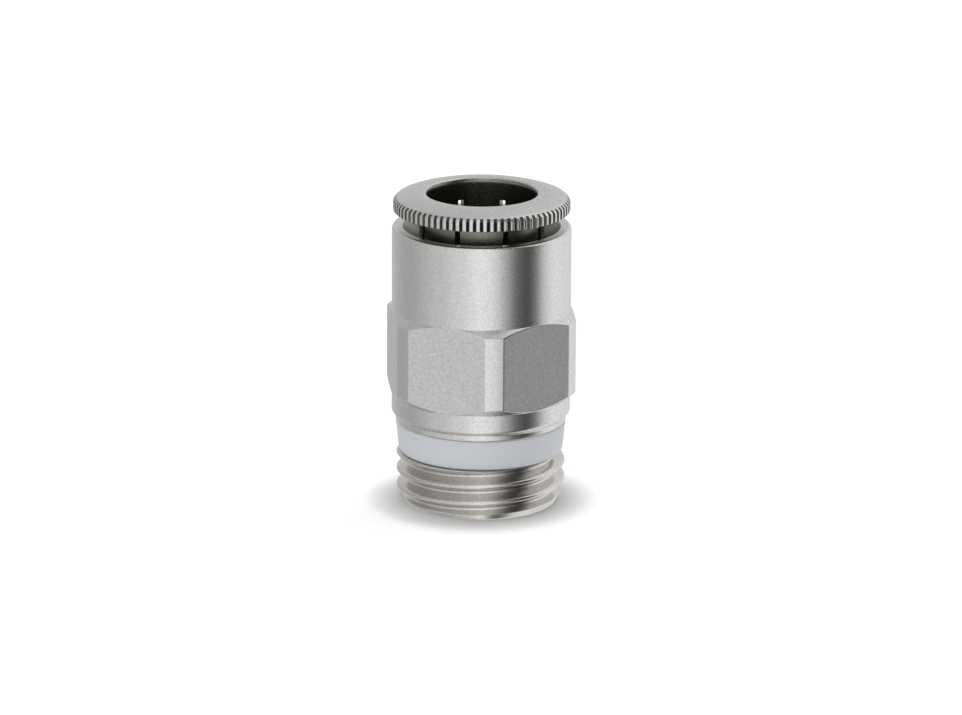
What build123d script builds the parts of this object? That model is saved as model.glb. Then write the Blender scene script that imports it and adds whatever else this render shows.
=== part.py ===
from build123d import *
import math
import os

# A straight push-in fitting for 8 mm tube with a G 1/4 male thread, in nickel-plated brass.
# Millimetres. Z is the axis, z = 0 is the end face of the thread, and the tube enters from the top.
# The body is one turned piece. A slotted collet slides in its mouth and grips the tube, a rubber
# ring seals on the tube, and a ring of PTFE at the top of the thread seals the port.

# Tube and its fits
tube_d = 8.0
tube_id = 6.0
guide_clearance = 0.06
collet_clearance = 0.24

# Male thread G 1/4, 19 threads to the inch, of Whitworth form
thread_d = 13.157
thread_pitch = 25.4 / 19
thread_angle = 55.0
thread_crest_bevel = 0.10
thread_crest_break = 0.03
thread_crest_land = 0.06
thread_len = 4.2
thread_crest_z = 0.60
thread_start_turn = 37.0
lead_depth = 0.73
lead_len = 1.25

# Outside of the body above the thread
shoulder_d = 13.3
shoulder_len = 0.45
collar_d = 13.94
collar_bevel = 0.30
collar_len = 1.40
hex_af = 14.0
hex_corner_d = 15.4
hex_turn = 7.8
hex_len = 6.90
hex_foot_bevel = 0.60
hex_top_bevel = 0.52
barrel_d = 13.94
barrel_len = 6.50
rim_bevel = 0.25

# PTFE ring in its groove between the thread and the shoulder
seal_width = 2.40
seal_small_d = 12.76
seal_large_d = 13.28
seal_bevel = 0.15
seal_groove_relief = 0.12
seal_side_gap = 0.025
seal_seat_gap = 0.03

# Inside of the body, from the thread end up
key_af = 6.0
key_len = 4.6
key_lead_d = 8.0
stop_z = 8.4
guide_len = 2.2
ring_groove_len = 2.3
ring_land_len = 0.8
ring_land_clearance = 0.25
chamber_d = 11.5
taper_angle = 30.0
throat_len = 1.5
mouth_d = 12.3
mouth_angle = 30.0

# Rubber ring on the tube
ring_section = 1.80
ring_id = 7.70
ring_gap = 0.05
ring_sides = 12

# Collet: knurled flange, neck and spring fingers, each with a gripping tooth
flange_d = 13.76
flange_len = 1.45
flange_top_bevel = 0.30
flange_foot_bevel = 0.22
tube_lead_bevel = 0.50
push_travel = 1.20
push_end_gap = 0.05
neck_d = 9.70
neck_clearance = 0.20
finger_count = 8
finger_slot = 0.45
finger_root = 0.10
finger_end_room = 0.15
finger_bulge_clearance = 0.25
finger_lead = 0.55
taper_gap = 0.30
tooth_room = 0.35
tooth_depth = 0.30
tooth_len = 0.80
tooth_edge = 0.08
knurl_count = 80
knurl_depth = 0.14
knurl_angle = 90.0

cutter_over = 1.0

# Heights that follow from the lengths
seal_groove_top = thread_len + seal_width + 2 * seal_side_gap
collar_foot = seal_groove_top + shoulder_len + collar_bevel
hex_foot = collar_foot + collar_len
barrel_foot = hex_foot + hex_len
rim_z = barrel_foot + barrel_len
ring_groove_z = stop_z + guide_len
ring_land_z = ring_groove_z + ring_groove_len
chamber_z = ring_land_z + ring_land_len
finger_foot = chamber_z + push_travel + finger_end_room
flange_z = rim_z + push_travel + push_end_gap
top_z = flange_z + flange_len

# Radii that follow from the diameters and clearances
guide_r = tube_d / 2 + guide_clearance
collet_bore_r = tube_d / 2 + collet_clearance
throat_r = neck_d / 2 + neck_clearance
chamber_r = chamber_d / 2
bulge_r = chamber_r - finger_bulge_clearance
thread_depth = 0.6403 * thread_pitch
seal_floor_r = thread_d / 2 - thread_depth - seal_groove_relief

# The body's taper, on which the fingers close when the tube is pulled
taper_rise = 1 / math.tan(math.radians(taper_angle))
mouth_foot = rim_z - (mouth_d / 2 - throat_r) / math.tan(math.radians(mouth_angle))
throat_foot = mouth_foot - throat_len


def taper_z(radius):
    """Height at which the body's taper has this radius."""
    return throat_foot - (radius - throat_r) * taper_rise


def turned(corners):
    """A turned piece, from the corners of its half section as (radius, height)."""
    return revolve(make_face(Plane.XZ * Polyline(*corners, close=True)), Axis.Z)


def hexagon(across_flats):
    """A hexagon with a corner turned from the front as the fitting's corners are."""
    return RegularPolygon(across_flats / 2, 6, major_radius=False, rotation=hex_turn - 90)


def thread_groove():
    """The helical cutter of the thread: a narrow root, two flanks and bevelled crests."""
    slope = math.tan(math.radians(thread_angle / 2))
    crest_r = thread_d / 2
    pitch_r = crest_r - thread_depth / 2
    root_r = crest_r - thread_depth
    root_half = thread_pitch / 4 - thread_depth / 2 * slope
    bevel_r = crest_r - thread_crest_bevel
    bevel_half = root_half + (bevel_r - root_r) * slope
    shoulder_r = crest_r + thread_crest_break
    outer_r = shoulder_r + thread_crest_bevel
    outer_half = (thread_pitch - thread_crest_land) / 2
    side = [(root_r, root_half), (bevel_r, bevel_half), (shoulder_r, outer_half), (outer_r, outer_half)]
    other_side = [(radius, -half) for radius, half in reversed(side)]
    section = make_face(Plane.XZ * Polyline(*side, *other_side, close=True))

    turns_below = 2
    start_turns = 0.5 - turns_below + thread_start_turn / 360
    start_z = thread_crest_z + start_turns * thread_pitch
    end_z = thread_len + thread_pitch * 2 / 3
    helix = Helix(thread_pitch, end_z - start_z, pitch_r)
    cutter = sweep(section, path=helix, is_frenet=True)
    return Pos(0, 0, start_z) * Rot(0, 0, thread_start_turn) * cutter


def threaded_end():
    """The male thread below the seal groove, with a lead cone at its end."""
    crest_r = thread_d / 2
    blank = turned(
        [
            (0, 0),
            (crest_r - lead_depth, 0),
            (crest_r, lead_len),
            (crest_r, thread_len),
            (0, thread_len),
        ]
    )
    return blank - thread_groove()


def body_outside():
    """The turned outside above the thread: groove, shoulder, collar, hexagon and barrel."""
    shoulder_r = shoulder_d / 2
    collar_r = collar_d / 2
    corner_r = hex_corner_d / 2
    barrel_r = barrel_d / 2
    return turned(
        [
            (0, thread_len),
            (seal_floor_r, thread_len),
            (seal_floor_r, seal_groove_top),
            (shoulder_r, seal_groove_top),
            (shoulder_r, seal_groove_top + shoulder_len),
            (collar_r, collar_foot),
            (collar_r, hex_foot),
            (corner_r, hex_foot + hex_foot_bevel),
            (corner_r, barrel_foot - hex_top_bevel),
            (barrel_r, barrel_foot),
            (barrel_r, rim_z - rim_bevel),
            (barrel_r - rim_bevel, rim_z),
            (0, rim_z),
        ]
    )


def hex_trimmings():
    """The six segments that the flats take off the turned corners."""
    outline = Circle(hex_corner_d / 2 + cutter_over) - hexagon(hex_af)
    return Pos(0, 0, hex_foot) * extrude(outline, hex_len)


def key_socket():
    """The broached hexagon in the thread end, for a key."""
    return Pos(0, 0, -cutter_over) * extrude(hexagon(key_af), key_len + cutter_over)


def body_bores():
    """The bored inside: flow bore, tube stop and guide, ring groove, chamber, taper and mouth."""
    flow_r = tube_id / 2
    key_lead_r = key_lead_d / 2
    ring_groove_r = ring_id / 2 + ring_section + ring_gap
    ring_land_r = guide_r + ring_land_clearance
    return turned(
        [
            (0, -cutter_over),
            (key_lead_r + cutter_over, -cutter_over),
            (flow_r, key_lead_r - flow_r),
            (flow_r, stop_z),
            (guide_r, stop_z),
            (guide_r, ring_groove_z),
            (ring_groove_r, ring_groove_z),
            (ring_groove_r, ring_land_z),
            (ring_land_r, ring_land_z),
            (ring_land_r, chamber_z),
            (chamber_r, chamber_z),
            (chamber_r, taper_z(chamber_r)),
            (throat_r, throat_foot),
            (throat_r, mouth_foot),
            (mouth_d / 2, rim_z),
            (mouth_d / 2, rim_z + cutter_over),
            (0, rim_z + cutter_over),
        ]
    )


def make_body():
    """The one-piece body, turned, milled, bored, broached and threaded."""
    outside = body_outside() - hex_trimmings() + threaded_end()
    return outside - body_bores() - key_socket()


def make_thread_seal():
    """The PTFE ring, wider towards the shoulder, with its outer edges rounded."""
    foot_z = thread_len + seal_side_gap
    head_z = foot_z + seal_width
    inner_r = seal_floor_r + seal_seat_gap
    return turned(
        [
            (inner_r, foot_z),
            (seal_small_d / 2 - seal_bevel, foot_z),
            (seal_small_d / 2, foot_z + seal_bevel),
            (seal_large_d / 2, head_z - seal_bevel),
            (seal_large_d / 2 - seal_bevel, head_z),
            (inner_r, head_z),
        ]
    )


def make_tube_seal():
    """The rubber ring over the lower wall of its groove, its round section drawn with twelve sides."""
    section_r = ring_section / 2
    centre_z = ring_groove_z + ring_gap + section_r
    section = Pos(ring_id / 2 + section_r, centre_z) * RegularPolygon(section_r, ring_sides)
    return revolve(Plane.XZ * section, Axis.Z)


def collet_blank():
    """The turned collet: flange, neck, bulged fingers and the tooth inside their ends."""
    flange_r = flange_d / 2
    neck_r = neck_d / 2
    tooth_r = collet_bore_r - tooth_depth
    tooth_z = finger_foot + tooth_room
    return turned(
        [
            (collet_bore_r + tube_lead_bevel, top_z),
            (flange_r - flange_top_bevel, top_z),
            (flange_r, top_z - flange_top_bevel),
            (flange_r, flange_z + flange_foot_bevel),
            (flange_r - flange_foot_bevel, flange_z),
            (neck_r, flange_z),
            (neck_r, taper_z(neck_r) - taper_gap),
            (bulge_r, taper_z(bulge_r) - taper_gap),
            (bulge_r, finger_foot + finger_lead),
            (bulge_r - finger_lead, finger_foot),
            (collet_bore_r, finger_foot),
            (collet_bore_r, tooth_z),
            (tooth_r, tooth_z + tooth_edge),
            (collet_bore_r, tooth_z + tooth_len),
            (collet_bore_r, top_z - tube_lead_bevel),
        ]
    )


def finger_slots():
    """The saw cuts that part the fingers, one finger facing the front."""
    slot_top = flange_z - finger_root
    slot_foot = finger_foot - cutter_over
    reach = bulge_r + cutter_over
    cut = Box(reach, finger_slot, slot_top - slot_foot, align=(Align.MIN, Align.CENTER, Align.MIN))
    first = 180 / finger_count - 90
    cut = Pos(0, 0, slot_foot) * cut
    return PolarLocations(0, finger_count, start_angle=first) * cut


def knurl_grooves():
    """The straight V grooves rolled into the flange."""
    flange_r = flange_d / 2
    slope = math.tan(math.radians(knurl_angle / 2))
    foot_r = flange_r - knurl_depth
    outer_r = flange_r + knurl_depth
    half_width = (outer_r - foot_r) * slope
    vee = Polygon((foot_r, 0), (outer_r, -half_width), (outer_r, half_width), align=None)
    groove = Pos(0, 0, flange_z) * extrude(vee, flange_len)
    return PolarLocations(0, knurl_count) * groove


def make_collet():
    """The one-piece collet, turned, knurled and sawn into fingers."""
    return collet_blank() - finger_slots() - knurl_grooves()


os.makedirs("parts", exist_ok=True)
export_step(make_body(), "parts/body.step")
export_step(make_thread_seal(), "parts/thread_seal.step")
export_step(make_tube_seal(), "parts/tube_seal.step")
export_step(make_collet(), "parts/collet.step")
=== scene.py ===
import math

import bmesh
import bpy
import numpy as np
from mathutils import Matrix


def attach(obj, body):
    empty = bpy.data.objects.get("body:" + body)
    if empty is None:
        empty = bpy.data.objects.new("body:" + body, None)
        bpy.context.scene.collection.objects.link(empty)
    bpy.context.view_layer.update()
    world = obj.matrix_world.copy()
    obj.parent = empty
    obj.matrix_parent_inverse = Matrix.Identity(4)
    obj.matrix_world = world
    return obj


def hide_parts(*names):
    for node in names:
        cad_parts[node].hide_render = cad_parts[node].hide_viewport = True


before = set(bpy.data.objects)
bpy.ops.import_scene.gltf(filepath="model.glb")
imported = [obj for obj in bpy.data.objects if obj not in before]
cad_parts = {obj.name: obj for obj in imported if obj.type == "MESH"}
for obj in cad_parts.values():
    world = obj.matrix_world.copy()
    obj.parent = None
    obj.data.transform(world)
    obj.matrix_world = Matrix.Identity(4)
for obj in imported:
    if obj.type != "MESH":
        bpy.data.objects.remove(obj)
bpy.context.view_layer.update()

# The body is one piece of brass bar: turned and bored, milled to a hexagon, its thread cut on the
# lathe, then barrel-polished and nickel plated, so every outer edge is slightly broken. The angle of
# a point is counted from the front, -Y, towards +X, and all sizes are in millimetres.

thread_pitch = 25.4 / 19
thread_r = 13.157 / 2
thread_depth = 0.6403 * thread_pitch
thread_rounding = 0.1373 * thread_pitch
thread_flank = math.radians(27.5)
thread_len = 4.2
thread_front_crest = 0.60 - 0.25 * thread_pitch
lead_r = thread_r - 0.73
lead_rise = 1.25 / 0.73
end_rounding = 0.16

hex_flat_r = 7.0
hex_corner_r = 7.7
hex_corner_angle = 7.8
barrel_r = 6.97
groove_r = 5.60
groove_top = 6.65
shoulder_r = 6.65
shoulder_top = 7.10
collar_foot = 7.40
hex_foot = 8.80
hex_foot_rise = 0.60 / (hex_corner_r - barrel_r)
hex_top = 15.70
hex_top_rise = 0.52 / (hex_corner_r - barrel_r)
rim_z = 22.2

key_flat_r = 3.0
key_lead_r = 4.0
key_len = 4.6
flow_r = 2.98
guide_r = 4.06
guide_foot = 8.4
ring_groove_r = 5.70
ring_groove_foot = 10.6
land_r = 4.31
land_foot = 12.9
chamber_r = 5.75
chamber_foot = 13.7
taper_foot = 17.583
throat_r = 5.05
throat_foot = 18.795
mouth_r = 6.15
mouth_foot = 20.295


def hexagon_columns(flat_r, corner_r, first_corner, flat_steps, edge_steps, land_steps):
    """Angles round a hexagon with turned corners, close together where a flat meets a corner.

    The edge of a flat is where flat_r / cos(angle from the flat's middle) reaches corner_r.
    """
    edge = math.degrees(math.acos(flat_r / corner_r))
    near = 0.9
    flat = np.linspace(-edge + near, edge - near, flat_steps, endpoint=False)
    rising = np.linspace(edge - near, edge + near, edge_steps, endpoint=False)
    land = np.linspace(edge + near, 60 - edge - near, land_steps, endpoint=False)
    falling = np.linspace(60 - edge - near, 60 - edge + near, edge_steps, endpoint=False)
    sector = np.concatenate([flat, rising, land, falling])
    middles = first_corner + 30 + 60 * np.arange(6)
    return np.radians((middles[:, None] + sector[None, :]).ravel())


def off_middle(angle, first_corner):
    """Angle from the middle of the nearest flat of a hexagon, between -30 and 30 degrees."""
    step = math.radians(60)
    middle = math.radians(first_corner + 30)
    return (angle - middle + step / 2) % step - step / 2


def least(a, b, blend):
    """The smaller of a and b, with the crease between them rounded over the width blend."""
    share = np.clip(0.5 + 0.5 * (b - a) / blend, 0, 1)
    return b + (a - b) * share - blend * share * (1 - share)


def edge_rows(corners, roundings, steps):
    """Rows of (radius, height) along a broken-edged outline, one outline for each column.

    A corner with a rounding becomes a parabola that touches both its sides at that distance,
    B(t) = (1 - t)^2 P1 + 2 t (1 - t) P + t^2 P2, with a row just before and after it.
    """
    corners = np.asarray(corners, float)
    rows = []
    for i, rounding in enumerate(roundings):
        here = corners[i]
        if rounding == 0:
            rows.append(here[None])
            continue
        back = corners[i - 1] - here
        on = corners[(i + 1) % len(corners)] - here
        back_len = np.maximum(np.linalg.norm(back, axis=0), 1e-9)
        on_len = np.maximum(np.linalg.norm(on, axis=0), 1e-9)
        first = here + back / back_len * np.minimum(rounding, 0.45 * back_len)
        last = here + on / on_len * np.minimum(rounding, 0.45 * on_len)
        t = np.linspace(0, 1, steps + 1)[:, None, None]
        curve = (1 - t) ** 2 * first + 2 * t * (1 - t) * here + t**2 * last
        before = here + back / back_len * np.minimum(rounding * 1.35, 0.48 * back_len)
        after = here + on / on_len * np.minimum(rounding * 1.35, 0.48 * on_len)
        rows.append(np.concatenate([before[None], curve, after[None]]))
    return np.concatenate(rows)


def carried_round(rows, angle, closed):
    """Points and faces of rows of (radius, height) carried round the axis over all the angles.

    A point is (radius sin angle, -radius cos angle, height), and the last column meets the first.
    """
    radius, height = rows[:, 0], rows[:, 1]
    points = np.stack([radius * np.sin(angle), -radius * np.cos(angle), height], axis=-1)
    count, columns = radius.shape
    row = np.arange(count if closed else count - 1)[:, None]
    column = np.arange(columns)[None, :]
    above = (row + 1) % count
    beside = (column + 1) % columns
    a = row * columns + column
    b = row * columns + beside
    c = above * columns + beside
    d = above * columns + column
    return points.reshape(-1, 3), np.stack([a, b, c, d], axis=-1).reshape(-1, 4)


def thread_radius(angle, height):
    """Radius of the Whitworth thread, from the distance to the nearest crest along the axis.

    Crests and roots are arcs of the same radius, joined by straight flanks at 27.5 degrees, and
    the thread stays inside the lead cone and the rounding of the end.
    """
    crest = thread_front_crest + thread_pitch * angle / (2 * np.pi)
    off = np.abs((height - crest + thread_pitch / 2) % thread_pitch - thread_pitch / 2)
    arc = thread_rounding * math.cos(thread_flank)
    touch = thread_rounding * (1 - math.sin(thread_flank))
    on_crest = np.sqrt(np.maximum(thread_rounding**2 - off**2, 0)) - thread_rounding
    on_flank = -touch - (off - arc) / math.tan(thread_flank)
    in_root = np.maximum(thread_rounding**2 - (thread_pitch / 2 - off) ** 2, 0)
    on_root = thread_rounding - thread_depth - np.sqrt(in_root)
    radius = np.where(off < arc, on_crest, on_flank)
    radius = thread_r + np.where(off > thread_pitch / 2 - arc, on_root, radius)
    low = np.clip(end_rounding - height, 0, end_rounding)
    broken = end_rounding - np.sqrt(end_rounding**2 - low**2)
    return least(radius, lead_r + height / lead_rise - broken, 0.05)


def threaded_wall(angle):
    """Points and faces of the thread, its rows climbing one pitch a turn along crest and root.

    Rows are clamped to the thread's two ends, and the last column meets the first one pitch up.
    """
    arc = thread_rounding * math.cos(thread_flank) / thread_pitch
    crest = np.linspace(-arc, arc, 7)
    flank = np.linspace(arc, 0.5 - arc, 4)[1:-1]
    root = np.linspace(0.5 - arc, 0.5 + arc, 7)
    other = np.linspace(0.5 + arc, 1 - arc, 4)[1:-1]
    phases = np.concatenate([crest, flank, root, other])
    per_turn = len(phases)
    turns = np.arange(-2, 6)
    level = (turns[:, None] + phases[None, :]).ravel()
    rise = thread_front_crest + thread_pitch * angle / (2 * np.pi)
    height = np.clip(rise[None, :] + thread_pitch * level[:, None], 0, thread_len)
    radius = thread_radius(angle[None, :], height)
    points = np.stack([radius * np.sin(angle), -radius * np.cos(angle), height], axis=-1)
    count, columns = height.shape
    row = np.arange(count - 1 - per_turn)[:, None]
    column = np.arange(columns)[None, :]
    last = column == columns - 1
    a = row * columns + column
    b = np.where(last, (row + per_turn) * columns, a + 1)
    c = b + columns
    d = a + columns
    faces = np.stack([a, b, c, d], axis=-1).reshape(-1, 4)
    tall = np.ptp(height.ravel()[faces], axis=1) > 1e-6
    return points.reshape(-1, 3), faces[tall]


def part_mesh(name, shells, crease):
    """A mesh in metres from (points, faces, finish_and_shade) shells, with doubled points merged.

    Edges sharper than the crease angle stay sharp, and faces are turned to point outwards.
    """
    points = np.concatenate([shell[0] for shell in shells]) * 0.001
    sizes = [len(shell[0]) for shell in shells]
    starts = np.concatenate([[0], np.cumsum(sizes)[:-1]])
    faces = []
    finishes_and_shades = []
    for (_, quads, finish_and_shade), first in zip(shells, starts):
        faces += [[first + i for i in face] for face in np.asarray(quads).tolist()]
        finishes_and_shades.append(np.broadcast_to(finish_and_shade, len(quads)))
    mesh = bpy.data.meshes.new(name)
    mesh.from_pydata(points.tolist(), [], faces)
    mesh.polygons.foreach_set("material_index", np.concatenate(finishes_and_shades).astype(np.int32))
    work = bmesh.new()
    work.from_mesh(mesh)
    bmesh.ops.remove_doubles(work, verts=work.verts, dist=2e-7)
    bmesh.ops.dissolve_degenerate(work, edges=work.edges, dist=1e-8)
    bmesh.ops.recalc_face_normals(work, faces=work.faces)
    work.to_mesh(mesh)
    work.free()
    mesh.shade_smooth()
    mesh.set_sharp_from_angle(angle=math.radians(crease))
    part = bpy.data.objects.new(name, mesh)
    bpy.context.scene.collection.objects.link(part)
    return part


angle = hexagon_columns(hex_flat_r, hex_corner_r, hex_corner_angle, 40, 8, 6)
across = off_middle(angle, hex_corner_angle)
hex_r = least(hex_flat_r / np.cos(across), np.full_like(across, hex_corner_r), 0.03)
key_r = key_flat_r / np.cos(across)
same = np.ones_like(angle)

outside = [
    (throat_r * same, mouth_foot * same, 0),
    (mouth_r * same, rim_z * same, 0.05),
    (barrel_r * same, rim_z * same, 0.30),
    (barrel_r * same, hex_top * same, 0.06),
    (hex_r, hex_top - (hex_r - barrel_r) * hex_top_rise, 0.07),
    (hex_r, hex_foot + (hex_r - barrel_r) * hex_foot_rise, 0.07),
    (barrel_r * same, hex_foot * same, 0.10),
    (barrel_r * same, collar_foot * same, 0.16),
    (shoulder_r * same, shoulder_top * same, 0.10),
    (shoulder_r * same, groove_top * same, 0.10),
    (groove_r * same, groove_top * same, 0),
    (groove_r * same, thread_len * same, 0),
    (thread_radius(angle, thread_len * same), thread_len * same, 0),
]
inside = [
    (thread_radius(angle, 0 * same), 0 * same, 0),
    (key_lead_r * same, 0 * same, 0.08),
    (key_r, key_lead_r - key_r, 0),
    (key_r, key_len * same, 0),
    (flow_r * same, key_len * same, 0),
    (flow_r * same, guide_foot * same, 0),
    (guide_r * same, guide_foot * same, 0),
    (guide_r * same, ring_groove_foot * same, 0),
    (ring_groove_r * same, ring_groove_foot * same, 0),
    (ring_groove_r * same, land_foot * same, 0),
    (land_r * same, land_foot * same, 0),
    (land_r * same, chamber_foot * same, 0),
    (chamber_r * same, chamber_foot * same, 0),
    (chamber_r * same, taper_foot * same, 0),
    (throat_r * same, throat_foot * same, 0.05),
    (throat_r * same, mouth_foot * same, 0.10),
    (mouth_r * same, rim_z * same, 0),
]


def outline_rows(outline, steps):
    """The rows of an outline given as (radius, height, rounding) for each corner."""
    corners = [np.stack(corner[:2]) for corner in outline]
    return edge_rows(corners, [corner[2] for corner in outline], steps)


def on_flats(points, faces):
    """Whether each face is tall and lies on a flat of the hexagon, clear of its two bevels.

    On a flat, the distance from the axis is hex_flat_r / cos(angle from the flat's middle).
    """
    x, y, height = points[faces].transpose(2, 0, 1)
    from_middle = off_middle(np.arctan2(x, -y), hex_corner_angle)
    off_flat = np.abs(np.hypot(x, y) - hex_flat_r / np.cos(from_middle)).max(axis=1)
    inside_edges = np.abs(from_middle[:, 0]) < math.acos(hex_flat_r / hex_corner_r) - math.radians(0.2)
    on_hexagon = (height.min(axis=1) > hex_foot) & (height.max(axis=1) < hex_top)
    return inside_edges & on_hexagon & (off_flat < 0.12) & (np.ptp(height, axis=1) > 0.5)


# The outside's outline starts at the foot of the mouth, only to steer the rounding of the mouth's
# edge, where the inside's outline ends.
outer_rows = outline_rows(outside, 5)[2:]
inner_rows = outline_rows(inside, 3)
inner_rows[-1] = outer_rows[0]
outer_points, outer_faces = carried_round(outer_rows, angle, closed=False)
inner_points, inner_faces = carried_round(inner_rows, angle, closed=False)
thread_points, thread_faces = threaded_wall(angle)

body = part_mesh(
    "fitting_body",
    [
        (outer_points, outer_faces, on_flats(outer_points, outer_faces).astype(int)),
        (thread_points, thread_faces, 2),
        # The inside gets the dark bore colour: painted shade down the bore.
        (inner_points, inner_faces, 3),
    ],
    crease=38,
)


def shader(name):
    """A new material, its node tree, its surface shader and a function that adds nodes to it."""
    material = bpy.data.materials.new(name)
    material.use_nodes = True
    tree = material.node_tree
    surface = tree.nodes["Principled BSDF"]

    def add(kind, inputs=(), **settings):
        node = tree.nodes.new(kind)
        for key, value in settings.items():
            setattr(node, key, value)
        for key, value in dict(inputs).items():
            if isinstance(value, bpy.types.NodeSocket):
                tree.links.new(value, node.inputs[key])
            else:
                node.inputs[key].default_value = value
        return node

    return material, tree, surface, add


def plated(name, colour, roughness, line_scale, line_height, grain_scale, grain_height):
    """Satin nickel: turned lines, a fine grain under them, and speckled changes of colour and gloss.

    The lines are noise squeezed along the axis, so that they run round the piece.
    """
    material, tree, surface, add = shader(name)
    place = add("ShaderNodeTexCoord").outputs["Object"]
    squeezed = add("ShaderNodeMapping", {"Vector": place, "Scale": (90, 90, line_scale)})
    lines = add("ShaderNodeTexNoise", {"Vector": squeezed.outputs[0], "Scale": 1.0, "Detail": 3.0})
    grain = add("ShaderNodeTexNoise", {"Vector": place, "Scale": grain_scale, "Detail": 2.0})
    speckle = add("ShaderNodeTexNoise", {"Vector": place, "Scale": 0.5 * grain_scale, "Detail": 2.0})
    darker = [0.80 * channel for channel in colour]
    spread = add("ShaderNodeMapRange", {"Value": speckle.outputs["Fac"], "From Min": 0.3, "From Max": 0.7})
    tint = add("ShaderNodeMix", data_type="RGBA")
    tree.links.new(spread.outputs[0], tint.inputs["Factor"])
    tint.inputs["A"].default_value = (*darker, 1)
    tint.inputs["B"].default_value = (*colour, 1)
    tree.links.new(tint.outputs["Result"], surface.inputs["Base Color"])
    gloss = add("ShaderNodeMapRange", {"Value": grain.outputs["Fac"], "From Min": 0.25, "From Max": 0.75})
    gloss.inputs["To Min"].default_value = roughness * 0.88
    gloss.inputs["To Max"].default_value = roughness * 1.12
    tree.links.new(gloss.outputs[0], surface.inputs["Roughness"])
    fine = add("ShaderNodeBump", {"Height": grain.outputs["Fac"], "Strength": 1.0, "Distance": grain_height})
    turned = add("ShaderNodeBump", {"Height": lines.outputs["Fac"], "Strength": 1.0, "Distance": line_height})
    tree.links.new(fine.outputs[0], turned.inputs["Normal"])
    tree.links.new(turned.outputs[0], surface.inputs["Normal"])
    surface.inputs["Metallic"].default_value = 1.0
    return material


nickel = (0.73, 0.72, 0.71)
for finish_and_shade in (
    plated("turned_nickel", nickel, 0.24, 12000, 4e-6, 14000, 1.0e-6),
    plated("milled_nickel", (0.72, 0.715, 0.71), 0.38, 900, 1e-6, 9000, 9e-6),
    plated("thread_nickel", (0.69, 0.67, 0.645), 0.18, 5000, 2e-6, 14000, 2e-6),
    # The bore's dark colour is painted shade inside the body.
    plated("bored_nickel_painted_shade", (0.34, 0.325, 0.29), 0.30, 9000, 4e-6, 14000, 1.5e-6),
):
    body.data.materials.append(finish_and_shade)
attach(body, "fitting")
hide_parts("body")

# The thread seal is a ring of white PTFE, pressed over the thread into its groove under the
# shoulder. It is wider towards the shoulder, so that it squeezes into the mouth of the port.

seal_foot = 4.225
seal_top = 6.625
seal_inner_r = 5.63
seal_small_r = 6.40
seal_large_r = 6.64
seal_rounding = 0.22

seal_angle = np.linspace(0, 2 * np.pi, 240, endpoint=False)
ring = np.ones_like(seal_angle)
seal_outline = [
    (seal_inner_r * ring, seal_foot * ring, 0),
    (seal_small_r * ring, seal_foot * ring, seal_rounding),
    (seal_large_r * ring, seal_top * ring, seal_rounding),
    (seal_inner_r * ring, seal_top * ring, 0),
]
seal_points, seal_faces = carried_round(outline_rows(seal_outline, 6), seal_angle, closed=True)
seal = part_mesh("thread_sealing_ring", [(seal_points, seal_faces, 0)], crease=50)
ptfe, ptfe_tree, ptfe_surface, add_ptfe = shader("white_ptfe")
ptfe_surface.inputs["Base Color"].default_value = (0.80, 0.83, 0.88, 1)
ptfe_surface.inputs["Roughness"].default_value = 0.38
ptfe_surface.inputs["Subsurface Weight"].default_value = 0.5
ptfe_surface.inputs["Subsurface Radius"].default_value = (1.0, 1.0, 1.0)
ptfe_surface.inputs["Subsurface Scale"].default_value = 0.0012
skived = add_ptfe("ShaderNodeTexNoise", {"Scale": 1500.0, "Detail": 2.0})
ptfe_place = add_ptfe("ShaderNodeTexCoord").outputs["Object"]
ptfe_tree.links.new(ptfe_place, skived.inputs["Vector"])
waxy = add_ptfe("ShaderNodeBump", {"Height": skived.outputs["Fac"], "Strength": 1.0, "Distance": 6e-6})
ptfe_tree.links.new(waxy.outputs[0], ptfe_surface.inputs["Normal"])
seal.data.materials.append(ptfe)
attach(seal, "fitting")
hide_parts("thread_seal")

# The tube seal is a moulded ring of black nitrile rubber with a round section. It lies in its
# groove in the body, and is seen only down the hole of the collet.

ring_section_r = 0.90
ring_middle_r = 4.75
ring_middle_z = 11.55

around = np.linspace(0, 2 * np.pi, 144, endpoint=False)
section = np.linspace(0, 2 * np.pi, 28, endpoint=False)
section_points = np.stack(
    [ring_middle_r + ring_section_r * np.cos(section), ring_middle_z + ring_section_r * np.sin(section)],
    axis=1,
)
ring_rows = np.repeat(section_points[:, :, None], len(around), axis=2)
ring_points, ring_faces = carried_round(ring_rows, around, closed=True)
tube_ring = part_mesh("tube_sealing_ring", [(ring_points, ring_faces, 0)], crease=60)
rubber, rubber_tree, rubber_surface, add_rubber = shader("black_rubber")
rubber_surface.inputs["Base Color"].default_value = (0.02, 0.02, 0.021, 1)
rubber_surface.inputs["Roughness"].default_value = 0.45
moulded = add_rubber("ShaderNodeTexNoise", {"Scale": 3000.0, "Detail": 2.0})
rubber_place = add_rubber("ShaderNodeTexCoord").outputs["Object"]
rubber_tree.links.new(rubber_place, moulded.inputs["Vector"])
skin = add_rubber("ShaderNodeBump", {"Height": moulded.outputs["Fac"], "Strength": 1.0, "Distance": 4e-6})
rubber_tree.links.new(skin.outputs[0], rubber_surface.inputs["Normal"])
tube_ring.data.materials.append(rubber)
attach(tube_ring, "fitting")
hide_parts("tube_seal")

# The collet is one piece of brass: a flange to push with a thumb, knurled on its rim, on a thin neck
# that is sawn into eight spring fingers. It is nickel plated and slides in the mouth of the body.

knurls = 80
knurl_depth = 0.14
flange_r = 6.88
flange_foot = 23.45
flange_top = 24.90
crown_r = 5.30
crown_foot_r = 6.60
crown_foot = 24.50
knurl_top = 24.20
bore_r = 4.24
neck_r = 4.85
fingers = 8
slot_half = 0.225
finger_top = 23.40
finger_foot = 15.05
bulge_r = 5.50
finger_lead = 0.55
tooth_r = 3.94

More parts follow.
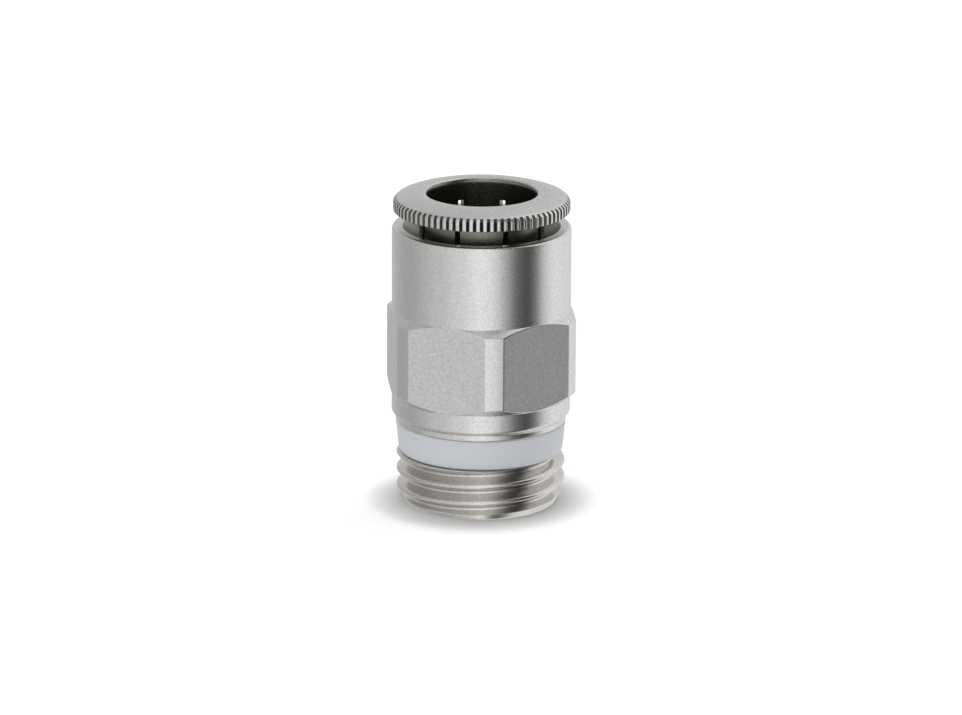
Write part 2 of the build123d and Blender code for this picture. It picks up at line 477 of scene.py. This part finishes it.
# Each groove is a V with sides at 45 degrees: its radius is that of its foot plus the distance
# along the rim from its middle.
knurl_angle = np.radians(np.arange(knurls * 8) * 360 / (knurls * 8))
rim_pitch = 2 * np.pi / knurls
off_groove = np.abs((knurl_angle + rim_pitch / 2) % rim_pitch - rim_pitch / 2) * flange_r
groove_r = flange_r - knurl_depth + off_groove
whole = np.ones_like(knurl_angle)
under_flange = flange_foot - 0.3
flange_outline = [
    (bore_r * whole, under_flange * whole, 0),
    (bore_r * whole, flange_top * whole, 0.45),
    (crown_r * whole, flange_top * whole, 0.50),
    (crown_foot_r * whole, crown_foot * whole, 0.25),
    (flange_r * whole, knurl_top * whole, 0.12),
    (flange_r * whole, flange_foot * whole, 0.15),
    ((neck_r - 0.01) * whole, flange_foot * whole, 0),
    ((neck_r - 0.01) * whole, under_flange * whole, 0),
]
flange_rows = outline_rows(flange_outline, 8)
flange_rows[:, 0] = least(flange_rows[:, 0], groove_r[None], 0.02)
flange_points, flange_faces = carried_round(flange_rows, knurl_angle, closed=True)

# The bore, as sawn and bored, is coloured darker than the plating: painted shade down the hole.
# The knurl's grooves are coloured near black, painted shade in the grooves, and are rougher where
# polishing doesn't reach.
from_axis = np.hypot(flange_points[:, 0], flange_points[:, 1])[flange_faces]
off_middle_line = np.tile((off_groove + np.roll(off_groove, -1)) / 2, len(flange_rows))
flange_finish_and_shade = np.where(from_axis.max(axis=1) < bore_r + 0.12, 1, 0)
# Faces in the knurl's grooves get a near-black colour: painted shade in the grooves.
flange_finish_and_shade[(off_middle_line < knurl_depth) & (from_axis.min(axis=1) > crown_foot_r)] = 2

finger_outline = np.array(
    [
        (bore_r, finger_top),
        (bore_r, 16.20),
        (tooth_r, 15.48),
        (bore_r, 15.40),
        (bore_r, finger_foot),
        (bulge_r - finger_lead, finger_foot),
        (bulge_r, finger_foot + finger_lead),
        (bulge_r, 17.716),
        (neck_r, 18.842),
        (neck_r, finger_top),
    ]
)
# A finger is its outline carried across, an eighth of a turn less a saw cut of even width.
across_finger = np.linspace(-1, 1, 13)
finger_middle = 2 * np.pi / fingers * np.arange(fingers)
half_width = np.pi / fingers - np.arcsin(slot_half / finger_outline[:, 0])
finger_angle = finger_middle[:, None, None] + half_width[None, :, None] * across_finger[None, None, :]
finger_radius = np.broadcast_to(finger_outline[None, :, 0, None], finger_angle.shape)
finger_height = np.broadcast_to(finger_outline[None, :, 1, None], finger_angle.shape)
finger_points = np.stack(
    [finger_radius * np.sin(finger_angle), -finger_radius * np.cos(finger_angle), finger_height], axis=-1
).reshape(-1, 3)
corner_count, width_count = len(finger_outline), len(across_finger)
number = np.arange(fingers * corner_count * width_count).reshape(fingers, corner_count, width_count)
onward = np.roll(number, -1, axis=1)
finger_sides = np.stack(
    [number[:, :, :-1], number[:, :, 1:], onward[:, :, 1:], onward[:, :, :-1]], axis=-1
).reshape(-1, 4)
finger_walls = [number[:, :, 0], number[:, :, -1]]
wall_pairs = [(9, 0, 1, 8), (8, 1, 2, 7), (7, 2, 3, 6), (6, 3, 4, 5)]
finger_ends = np.concatenate([wall[:, pair] for wall in finger_walls for pair in wall_pairs])
finger_faces = np.concatenate([finger_sides, finger_ends])

collet = part_mesh(
    "release_collet",
    # The fingers get the dark sawn colour: painted shade on the neck under the flange and down the hole.
    [(flange_points, flange_faces, flange_finish_and_shade), (finger_points, finger_faces, 1)],
    crease=40,
)
for finish_and_shade in (
    plated("knurled_nickel", (0.70, 0.70, 0.69), 0.26, 6000, 2e-6, 12000, 2.5e-6),
    # This dark colour is painted shade in the hole and under the flange.
    plated("sawn_nickel_painted_shade", (0.24, 0.232, 0.20), 0.28, 14000, 5e-6, 12000, 2e-6),
    # Near-black colour: painted shade in the knurl's grooves.
    plated("groove_nickel_painted_shade", (0.09, 0.088, 0.08), 0.40, 6000, 2e-6, 12000, 2.5e-6),
):
    collet.data.materials.append(finish_and_shade)
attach(collet, "release_ring")
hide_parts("collet")

# The fitting stands on its thread on a white table in a light tent. A dark flag to its right puts
# the one dark band down the metal. The table shows pure white outside the fitting's shadow: a glow
# seen only by the camera lifts it to white, and the glow is dimmed near the fitting by ambient
# occlusion, a painted contact shadow added to the shadow that the tent's light casts.

reach = 3.0
shadow_reach = 0.0035
white_lift = 0.47
floor_mesh = bpy.data.meshes.new("table")
floor_corners = [(-reach, -reach, 0), (reach, -reach, 0), (reach, reach, 0), (-reach, reach, 0)]
floor_mesh.from_pydata(floor_corners, [], [(0, 1, 2, 3)])
table = bpy.data.objects.new("table", floor_mesh)
bpy.context.scene.collection.objects.link(table)
paper, paper_tree, paper_surface, add_paper = shader("white_table")
paper_surface.inputs["Base Color"].default_value = (0.88, 0.88, 0.88, 1)
paper_surface.inputs["Roughness"].default_value = 0.9
paper_surface.inputs["Specular IOR Level"].default_value = 0.0
seen = add_paper("ShaderNodeLightPath").outputs["Is Camera Ray"]
open_sky = add_paper("ShaderNodeAmbientOcclusion", {"Distance": shadow_reach}, samples=16)
# Painted contact shadow: the camera-only glow is dimmed by the fourth power of the occlusion.
painted_shadow = add_paper("ShaderNodeMath", {0: open_sky.outputs["AO"], 1: 4.0}, operation="POWER")
shown = add_paper("ShaderNodeMath", {0: seen, 1: painted_shadow.outputs[0]}, operation="MULTIPLY")
lift = add_paper("ShaderNodeMath", {0: shown.outputs[0], 1: white_lift}, operation="MULTIPLY")
paper_surface.inputs["Emission Color"].default_value = (1, 1, 1, 1)
paper_tree.links.new(lift.outputs[0], paper_surface.inputs["Emission Strength"])
floor_mesh.materials.append(paper)
table.visible_glossy = False

world = bpy.data.worlds.new("light_tent")
bpy.context.scene.world = world
world.use_nodes = True
tent = world.node_tree
tent.nodes.clear()
toward = tent.nodes.new("ShaderNodeTexCoord")
parts = tent.nodes.new("ShaderNodeSeparateXYZ")
tent.links.new(toward.outputs["Generated"], parts.inputs[0])
front = tent.nodes.new("ShaderNodeMath")
front.operation = "MULTIPLY"
front.inputs[1].default_value = -1.0
tent.links.new(parts.outputs["Y"], front.inputs[0])
bearing = tent.nodes.new("ShaderNodeMath")
bearing.operation = "ARCTAN2"
tent.links.new(parts.outputs["X"], bearing.inputs[0])
tent.links.new(front.outputs[0], bearing.inputs[1])
share = tent.nodes.new("ShaderNodeMapRange")
share.inputs["From Min"].default_value = -math.pi
share.inputs["From Max"].default_value = math.pi
tent.links.new(bearing.outputs[0], share.inputs["Value"])

# Light of the tent by bearing in degrees, 0 in front of the fitting and 90 to its right.
levels = tent.nodes.new("ShaderNodeValToRGB")
levels.color_ramp.interpolation = "EASE"
tent_light = [
    (-180, 0.62),
    (-103, 0.47),
    (-53, 0.68),
    (-25, 0.85),
    (0, 1.08),
    (15, 0.95),
    (32, 0.50),
    (45, 0.15),
    (63, 0.05),
    (75, 0.20),
    (88, 0.75),
    (106, 0.98),
    (140, 0.85),
    (180, 0.62),
]
stops = levels.color_ramp.elements
while len(stops) < len(tent_light):
    stops.new(0.5)
for stop, (degrees, level) in zip(stops, tent_light):
    stop.position = (degrees + 180) / 360
    stop.color = (level, level, level, 1)
tent.links.new(share.outputs[0], levels.inputs["Fac"])
glow = tent.nodes.new("ShaderNodeBackground")
tent.links.new(levels.outputs["Color"], glow.inputs["Color"])
glow.inputs["Strength"].default_value = 1.1
white = tent.nodes.new("ShaderNodeBackground")
white.inputs["Color"].default_value = (1, 1, 1, 1)
path = tent.nodes.new("ShaderNodeLightPath")
either = tent.nodes.new("ShaderNodeMixShader")
tent.links.new(path.outputs["Is Camera Ray"], either.inputs["Fac"])
tent.links.new(glow.outputs[0], either.inputs[1])
tent.links.new(white.outputs[0], either.inputs[2])
out = tent.nodes.new("ShaderNodeOutputWorld")
tent.links.new(either.outputs[0], out.inputs["Surface"])
bpy.context.scene.view_settings.view_transform = "Standard"

# The camera is a long lens half a metre away, a little above the fitting, as the photograph shows it.

tilt = math.radians(16.3)
lean = math.radians(0.3)
away = 0.5
look_at = np.array([0.0, 0.0, 0.0115])
camera_data = bpy.data.cameras.new("camera")
camera_data.lens = 239.9
camera_data.sensor_width = 36.0
camera = bpy.data.objects.new("camera", camera_data)
camera.location = look_at + away * np.array([0, -math.cos(tilt), math.sin(tilt)])
aim = Matrix.Rotation(math.pi / 2 - tilt, 4, "X") @ Matrix.Rotation(lean, 4, "Z")
camera.rotation_euler = aim.to_euler()
bpy.context.scene.collection.objects.link(camera)
bpy.context.scene.camera = camera
